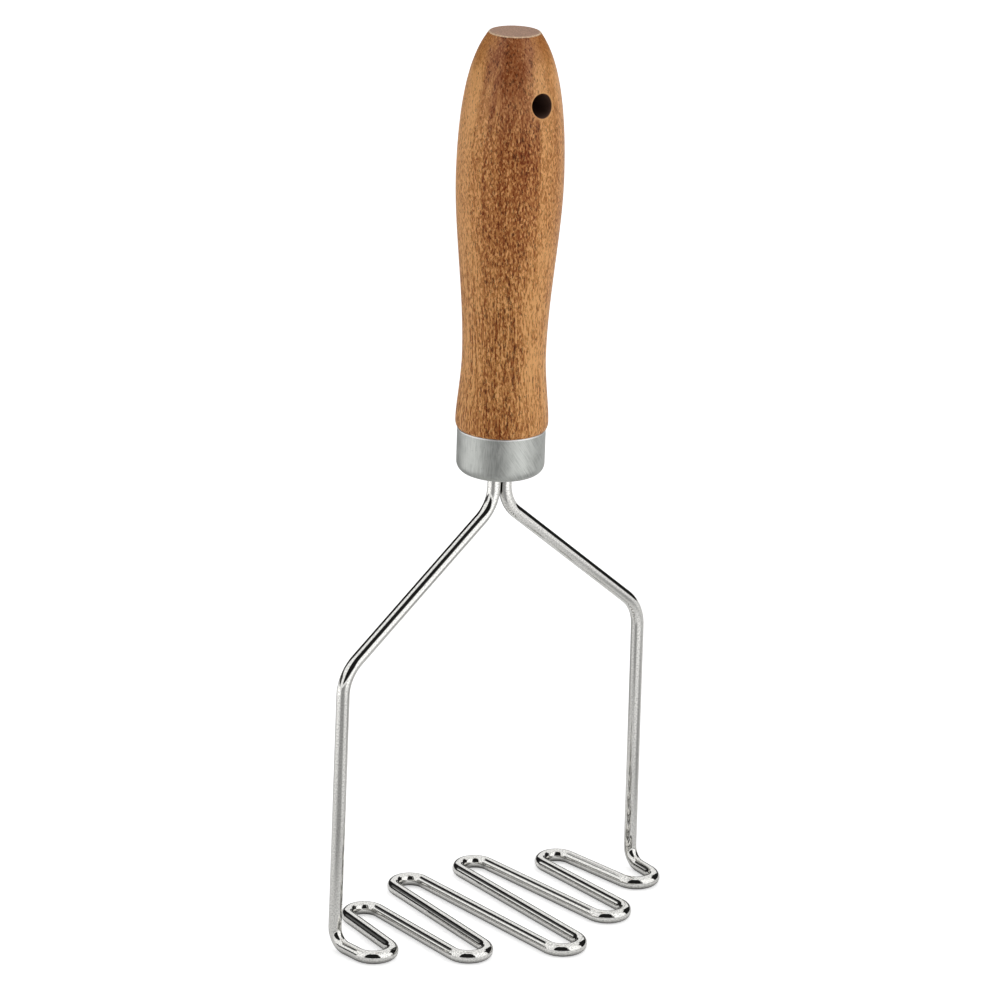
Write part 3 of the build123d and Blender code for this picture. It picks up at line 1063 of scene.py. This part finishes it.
def wood_fibres(tree, leaned, beside, high, heart_and_shade):
    """Short fibres high up and more long ones low down, both broken up by specks."""
    short, long = (
        between(tree, part, crisp_grain(tree, leaned, beside, grains), specks(tree, leaned, cells))
        for grains, cells, part in (SHORT_FIBRES, LONG_FIBRES)
    )
    low_part = product(tree, graded(tree, high, 0.8, 0.15), graded(tree, heart_and_shade, 1.0, 0.7))
    return between(tree, low_part, short, long)


def specks(tree, place, grains):
    """Level of small cells, each with its own chance tone, from 0.25 to 0.75."""
    _, chances = grain_cells(tree, place, grains)
    return added(tree, 0.25, chances[1], 0.5)


def crisp_grain(tree, place, beside, grains):
    """Grain less a part of the grain on both sides of it, so that light lines stand beside dark ones."""
    right, left = (grain(tree, other, grains, 1.0) for other in beside)
    both = maths(tree, "SUBTRACT", maths(tree, "ADD", right, left), 1.0)
    return added(tree, grain(tree, place, grains, 1.0), both, -FIBRE_CONTRAST / 2)


def top_masks(tree, place, height, s):
    """Flat top with its end grain, and the ring of painted highlight round it."""
    away = vector_maths(tree, "LENGTH", vector_maths(tree, "MULTIPLY", place, LEVEL_AXES))
    top, near = (
        below_top(tree, height, *(part * s.top_edge for part in start)) for start in (TOP_START, HIGHLIGHT_RING_START)
    )
    outer = spread(tree, away, *(s.top_diameter / 2 - part * s.top_edge for part in HIGHLIGHT_RING_INSIDE))
    return top, product(tree, near, outer)


def hole_masks(tree, place, s):
    """Painted shade on the wall inside the hang hole, and a painted highlight round its mouths."""
    shifted = vector_maths(tree, "ADD", place, (0.0, 0.0, s.hole_drop - handle_high.z))
    away = vector_maths(tree, "LENGTH", vector_maths(tree, "MULTIPLY", shifted, HOLE_AXES))
    wall = s.hole_diameter / 2
    spans = (HOLE_SHADE_SPAN, MOUTH_HIGHLIGHT_SPAN)
    return (spread(tree, away, wall + full, wall + clear, 1.0, 0.0) for full, clear in spans)


def pore_level(tree, place, density):
    """Level of the pores at a place."""
    return group_level(tree, "Wood Pores", wood_pores, {"Place": place, "Density": density})


def wood_pores(name):
    """Dark long pores: the near part of stretched cells, of which only some are open.

    The place is shaken by fine noise, so that each pore is a ragged speck.
    """
    group, given, level = new_group(name, {"Place": (0.0, 0.0, 0.0), "Density": 1.0})
    noise = {"Vector": given["Place"], "Scale": PORE_SHAKE, "Detail": 1.0}
    shake = add_node(group, "ShaderNodeTexNoise", noise).outputs["Color"]
    shift = vector_maths(group, "SUBTRACT", shake, (0.5, 0.5, 0.5))
    moved = vector_maths(group, "MULTIPLY_ADD", shift, PORE_SHAKE_REACH, given["Place"])
    distance, chances = grain_cells(group, moved, PORE_CELLS)
    reach = product(group, spread(group, chances[0], 0.2, 1.0, 0.08, 0.46), given["Density"])
    inner = maths(group, "SUBTRACT", reach, distance)
    group.links.new(spread(group, inner, 0.0, 0.10), level)
    return group


# Metal and glue, with grains per metre round, along and deep

WIRE_LINES = (5200.0, 160.0, 1.0)
WIRE_PITS = (3400.0, 1900.0, 1.0)
WIRE_MARKS = (700.0, 260.0, 1.0)
# Painted shade between the two neck wires: half widths across the seam, and drops below the ferrule
NECK_SHADE_HALF_WIDTHS = (0.30 * MM, 0.60 * MM)
NECK_SHADE_DROPS = (12 * MM, 8 * MM)
STROKES = (4200.0, 170.0, 1.0)
STROKE_LEANS = (0.06, -0.6)
STROKE_WANDER = (90.0, 90.0, 1.0)
WANDER_REACH = 20 * MM
CROSSING_BEARING = pi / 2 - 0.6
CROSSING_SPAN = (4 * MM, 14 * MM)
FERRULE_CLOUD = (260.0, 260.0, 1.0)
NICKS = (1500.0, 2300.0, 1.0)
NICK_PART = 0.6
# Painted highlight along the ferrule's rim: how much it covers and its colour
RIM_HIGHLIGHT_PART = 0.7
RIM_HIGHLIGHT_STEEL = (0.95, 0.95, 0.95)
GLUE_CLOUD = (900.0, 900.0, 900.0)


def new_steel(name):
    """Empty steel material, and the place on the piece's lay."""
    material, tree, surface = new_material(name)
    surface.inputs["Metallic"].default_value = 1.0
    return material, tree, surface, add_node(tree, "ShaderNodeUVMap", uv_map=LAY_MAP).outputs["UV"]


def wire_material(s):
    """Polished drawn steel, with fine lines along the wire, a light pitting and painted shade in the seam
    at the neck.
    """
    material, tree, surface, lay = new_steel("Polished Wire")
    lines = grain(tree, lay, WIRE_LINES, 3.0)
    pits = grain(tree, lay, WIRE_PITS, 3.0)
    marks = grain(tree, lay, WIRE_MARKS, 4.0)
    tone = mixed(tree, spread(tree, pits, 0.36, 0.60), dimmed(s.steel, 0.68), s.steel)
    # The seam between the neck wires is darkened as painted shade
    tone = mixed(tree, painted_neck_shade(tree), tone, dimmed(s.steel, 0.1))
    roughness = spread(tree, marks, 0.40, 0.75, 0.025, 0.08)
    finish(tree, surface, tone, roughness, added(tree, lines, pits, 0.8), WIRE_RELIEF)
    return material


def painted_neck_shade(tree):
    """Painted shade: a dark seam where the two wires stand side by side in the neck."""
    _, x, _, z = object_place(tree)
    inner = spread(tree, maths(tree, "ABSOLUTE", x), *NECK_SHADE_HALF_WIDTHS, 1.0, 0.0)
    low, high = (ferrule_low.z - drop for drop in NECK_SHADE_DROPS)
    return product(tree, inner, spread(tree, z, low, high))


def ferrule_material(s):
    """Satin steel, brushed upright and again in crossing strokes, with a painted highlight along the rim
    and small nicks.
    """
    material, tree, surface, lay = new_steel("Brushed Ferrule")
    place, _, _, height = object_place(tree)
    upright, crossing = (brushing(tree, lay, lean) for lean in STROKE_LEANS)
    across = facing(tree, place, CROSSING_BEARING)
    wander = added(tree, across, grain(tree, lay, STROKE_WANDER, 2.0), WANDER_REACH)
    level = between(tree, spread(tree, wander, *CROSSING_SPAN), upright, crossing)
    cloud = grain(tree, lay, FERRULE_CLOUD, 4.0)
    # The bright rim is a painted highlight
    rim = spread(tree, height, ferrule_high.z - s.rim_highlight_reach, ferrule_high.z - 0.5 * s.rim_highlight_reach)
    nicks = spread(tree, grain(tree, lay, NICKS, 1.0), 0.70, 0.76)
    cloudy = spread(tree, cloud, *MAIN_SPAN, -0.1, 0.4)
    light_part = maths(tree, "ADD", spread(tree, level, 0.36, 0.64), cloudy)
    tone = mixed(tree, light_part, dimmed(s.steel, 0.7), s.steel)
    nicked, painted_rim_highlight = product(tree, nicks, NICK_PART), product(tree, rim, RIM_HIGHLIGHT_PART)
    tone = layered(tree, tone, ((nicked, dimmed(s.steel, 0.3)), (painted_rim_highlight, RIM_HIGHLIGHT_STEEL)))
    finish(tree, surface, tone, spread(tree, level, *MAIN_SPAN, 0.36, 0.50), level, FERRULE_RELIEF)
    return material


def brushing(tree, lay, lean):
    """Fine strokes along the ferrule, leaned by an angle."""
    turned_lay = add_node(tree, "ShaderNodeMapping", {"Vector": lay, "Rotation": (0.0, 0.0, lean)})
    return grain(tree, turned_lay.outputs["Vector"], STROKES, 4.0)


def glue_material(s):
    """Set resin with a cloudy tone."""
    material, tree, surface = new_material("Set Glue")
    place, *_ = object_place(tree)
    cloud = grain(tree, place, GLUE_CLOUD, 3.0)
    tone = mixed(tree, spread(tree, cloud, *MAIN_SPAN), dimmed(s.resin, 0.7), s.resin)
    finish(tree, surface, tone, spread(tree, cloud, *MAIN_SPAN, 0.3, 0.45), cloud, GLUE_RELIEF)
    return material


# Stage

FLOOR_HALF = 3.0
GLOW_START = 60 * MM
HEAD_SPAN = (38 * MM, 66 * MM)
CONTACT_REACH = 3 * MM
CONTACT_SAMPLES = 8
SENSOR = 36.0
CLIP = (0.05, 50.0)
WHITE = (1.0, 1.0, 1.0)


def camera_axes(s):
    """Right, up and backward directions of the camera, from its bearing, tilt and lean."""
    right = np.array((cos(s.camera_azimuth), sin(s.camera_azimuth), 0))
    ahead = np.array((-sin(s.camera_azimuth), cos(s.camera_azimuth), 0))
    look = ahead * cos(s.camera_elevation) - np.array((0, 0, sin(s.camera_elevation)))
    up = np.cross(right, look)
    leaned = right * cos(s.camera_roll) + up * sin(s.camera_roll)
    return leaned, np.cross(leaned, look), -look


def add_camera(s):
    """Camera at the photograph's place and view."""
    data = bpy.data.cameras.new("camera")
    data.sensor_width, data.lens = SENSOR, s.camera_lens
    data.clip_start, data.clip_end = CLIP
    camera = linked_object("camera", data)
    turn = Matrix(np.stack(camera_axes(s), axis=1).tolist()).to_4x4()
    camera.matrix_world = Matrix.Translation(Vector(s.camera_place)) @ turn
    bpy.context.scene.camera = camera


def add_floor(s):
    """Pale floor that keeps the shadow.

    The camera sees it white. Steel sees it pale under the head, darker right beside the wire, where its
    shade is painted, and grey further off, with glows on its bright sides.
    """
    corners = np.array(((-1, -1, 0), (1, -1, 0), (1, 1, 0), (-1, 1, 0))) * FLOOR_HALF
    mesh = bpy.data.meshes.new("floor")
    mesh.from_pydata(corners.tolist(), [], [(0, 1, 2, 3)])
    material, tree, surface = new_material("Pale Floor")
    rays = add_node(tree, "ShaderNodeLightPath").outputs
    place, *_ = object_place(tree)
    away = vector_maths(tree, "LENGTH", place)
    far = spread(tree, away, GLOW_START, s.near_reach)
    reach = {"Distance": CONTACT_REACH}
    # Painted contact shade: occlusion darkens the floor's colour beside the wire
    shade = add_node(tree, "ShaderNodeAmbientOcclusion", reach, samples=CONTACT_SAMPLES).outputs["AO"]
    near = mixed(tree, shade, (s.contact_shade_grey,) * 3, (s.near_grey,) * 3)
    grey = mixed(tree, far, near, (s.floor_grey,) * 3)
    tree.links.new(mixed(tree, rays["Is Glossy Ray"], s.floor, grey), surface.inputs["Base Color"])
    surface.inputs["Roughness"].default_value = 1.0
    surface.inputs["Specular IOR Level"].default_value = 0.0
    surface.inputs["Emission Color"].default_value = (*WHITE, 1.0)
    glow_near = product(tree, shade, spread(tree, away, *HEAD_SPAN, s.near_white, 0.0))
    glow_here = added(tree, glow_near, floor_glow(tree, place, away, s), far)
    in_steel = product(tree, glow_here, rays["Is Glossy Ray"])
    in_view = added(tree, in_steel, s.floor_white, rays["Is Camera Ray"])
    tree.links.new(in_view, surface.inputs["Emission Strength"])
    mesh.materials.append(material)
    linked_object("floor", mesh)


def floor_glow(tree, place, away, s):
    """Brightness added where steel sees the floor: lobes round the head, and two more further off."""
    full = spread(tree, away, s.near_reach, s.far_reach)
    glows = [(entry, 1.0) for entry in (s.left_glow, s.right_glow, s.back_glow)]
    glows += [(entry, full) for entry in (s.far_left_glow, s.far_right_glow)]
    lobes = 0.0
    for (turn, half_spread, white), reach in glows:
        cosine = maths(tree, "DIVIDE", facing(tree, place, s.camera_azimuth + turn), away)
        lobes = added(tree, lobes, spread(tree, cosine, cos(half_spread), 1.0, 0.0, white), reach)
    return lobes


def dark_gap(name):
    """Level of one gap in the sky, 1 inside and 0 outside, from a direction."""
    inputs = {"Direction": (0.0, 0.0, 0.0), "Bearing": 0.0, "Height": 0.0}
    inputs |= {"Half Width": 0.5, "Half Height": 0.5, "Edge": 0.1}
    group, given, level = new_group(name, inputs)
    x, y, z = add_node(group, "ShaderNodeSeparateXYZ", {"Vector": given["Direction"]}).outputs
    bearing_here = maths(group, "ARCTAN2", x, product(group, y, -1.0))
    off = maths(group, "WRAP", maths(group, "SUBTRACT", bearing_here, given["Bearing"]), pi, -pi)
    rise = maths(group, "SUBTRACT", maths(group, "ARCSINE", z), given["Height"])
    sides = []
    for angle_here, half in ((off, given["Half Width"]), (rise, given["Half Height"])):
        outside = maths(group, "SUBTRACT", maths(group, "ABSOLUTE", angle_here), half)
        sides.append(spread(group, maths(group, "DIVIDE", outside, given["Edge"]), -0.5, 0.5, 1.0, 0.0))
    group.links.new(product(group, *sides), level)
    return group


def add_world(s):
    """White studio walls with five dark gaps, and plain white where the camera sees them."""
    world = bpy.data.worlds.new("studio")
    world.use_nodes = True
    tree = world.node_tree
    tree.nodes.clear()
    given = {"Direction": add_node(tree, "ShaderNodeTexCoord").outputs["Generated"], "Edge": s.gap_edge}
    gaps = 0.0
    for turn, *extent in (s.front_gap, s.left_gap, s.right_gap, s.back_gap, s.side_gap):
        given["Bearing"] = s.camera_azimuth + turn
        given |= zip(("Height", "Half Width", "Half Height"), extent)
        gaps = maths(tree, "MAXIMUM", gaps, group_level(tree, "Dark Gap", dark_gap, given))
    rays = add_node(tree, "ShaderNodeLightPath").outputs
    hidden = maths(tree, "SUBTRACT", 1.0, rays["Is Camera Ray"])
    strength = graded(tree, product(tree, gaps, hidden), 1.0, s.gap_level)
    wall = add_node(tree, "ShaderNodeBackground", {"Color": WHITE, "Strength": strength})
    output = tree.nodes.new("ShaderNodeOutputWorld")
    tree.links.new(wall.outputs[0], output.inputs["Surface"])
    bpy.context.scene.world = world


def add_lamp(name, s, place, brightness):
    """Soft lamp that fills a window in the sky, as seen from the part's middle.

    A flat lamp of area A and brightness L gives a power of pi A L.
    """
    turn, height, half_width, half_height = place
    data = bpy.data.lights.new(name, "AREA")
    data.shape = "ELLIPSE"
    data.size = 2 * s.lamp_distance * tan(half_width)
    data.size_y = 2 * s.lamp_distance * tan(half_height)
    data.energy = pi * pi / 4 * data.size * data.size_y * brightness
    lamp = linked_object(name, data)
    x, y, _ = level_way(s.camera_azimuth + turn)
    back = Vector((x * cos(height), y * cos(height), sin(height)))
    middle = (Vector(cad_box[0]) + Vector(cad_box[1])) / 2
    aim = back.to_track_quat("Z", "Y").to_matrix().to_4x4()
    lamp.matrix_world = Matrix.Translation(middle + back * s.lamp_distance) @ aim
    lamp.visible_camera = False


# Operators


class MASHER_OT_wire(Operator):
    """Makes the bent wire: the head, both legs, the shoulders, the neck and the tangs"""

    bl_idname = "masher.wire"
    bl_label = "Bent Wire"

    def execute(self, context):
        settings = context.scene.masher_wire
        new_piece("bent_wire", wire_mesh(settings), wire_material(settings), "masher_wire")
        return {"FINISHED"}


class MASHER_OT_ferrule(Operator):
    """Makes the drawn ferrule with its slot"""

    bl_idname = "masher.ferrule"
    bl_label = "Ferrule"

    def execute(self, context):
        settings = context.scene.masher_ferrule
        mesh = ferrule_mesh(settings, context.scene.masher_wire)
        new_piece("drawn_ferrule", mesh, ferrule_material(settings), "ferrule")
        return {"FINISHED"}


class MASHER_OT_handle(Operator):
    """Makes the turned handle with its hang hole and glued bore"""

    bl_idname = "masher.handle"
    bl_label = "Turned Handle"

    def execute(self, context):
        settings = context.scene.masher_handle
        new_piece("turned_handle", handle_mesh(settings), wood_material(settings), "handle")
        return {"FINISHED"}


class MASHER_OT_glue(Operator):
    """Gives the two glue films their finish"""

    bl_idname = "masher.glue"
    bl_label = "Glue Films"

    def execute(self, context):
        material = glue_material(context.scene.masher_glue)
        for name in ("tang_adhesive", "ferrule_adhesive"):
            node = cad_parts[name]
            node.data.materials.clear()
            node.data.materials.append(material)
        return {"FINISHED"}


class MASHER_OT_stage(Operator):
    """Sets the camera, the floor, the world and the lamps"""

    bl_idname = "masher.stage"
    bl_label = "Stage"

    def execute(self, context):
        settings = context.scene.masher_stage
        context.scene.view_settings.view_transform = "Standard"
        add_camera(settings)
        add_floor(settings)
        add_world(settings)
        add_lamp("left_lamp", settings, settings.left_lamp, settings.left_light)
        add_lamp("right_lamp", settings, settings.right_lamp, settings.right_light)
        return {"FINISHED"}


class MASHER_PT_pieces(Panel):
    """Lists the pieces and their settings in the sidebar"""

    bl_idname = "MASHER_PT_pieces"
    bl_label = "Potato Masher"
    bl_space_type = "VIEW_3D"
    bl_region_type = "UI"
    bl_category = "Masher"

    def draw(self, context):
        for operator, settings in zip(OPERATORS, SETTINGS):
            box = self.layout.box()
            box.operator(operator.bl_idname)
            group = getattr(context.scene, settings)
            for name in group.__annotations__:
                box.prop(group, name)


OPERATORS = (MASHER_OT_wire, MASHER_OT_ferrule, MASHER_OT_handle, MASHER_OT_glue, MASHER_OT_stage)
SETTINGS = {
    "masher_wire": MasherWireSettings,
    "masher_ferrule": MasherFerruleSettings,
    "masher_handle": MasherHandleSettings,
    "masher_glue": MasherGlueSettings,
    "masher_stage": MasherStageSettings,
}
CLASSES = (*SETTINGS.values(), *OPERATORS, MASHER_PT_pieces)


def register():
    """Adds the classes and gives the scene its settings."""
    for entry in CLASSES:
        bpy.utils.register_class(entry)
    for name, entry in SETTINGS.items():
        setattr(bpy.types.Scene, name, PointerProperty(type=entry))


def unregister():
    """Takes the settings and the classes away again."""
    for name in SETTINGS:
        delattr(bpy.types.Scene, name)
    for entry in reversed(CLASSES):
        bpy.utils.unregister_class(entry)


def main():
    register()
    bpy.ops.masher.wire()
    bpy.ops.masher.ferrule()
    bpy.ops.masher.handle()
    bpy.ops.masher.glue()
    bpy.ops.masher.stage()


if __name__ == "__main__":
    main()
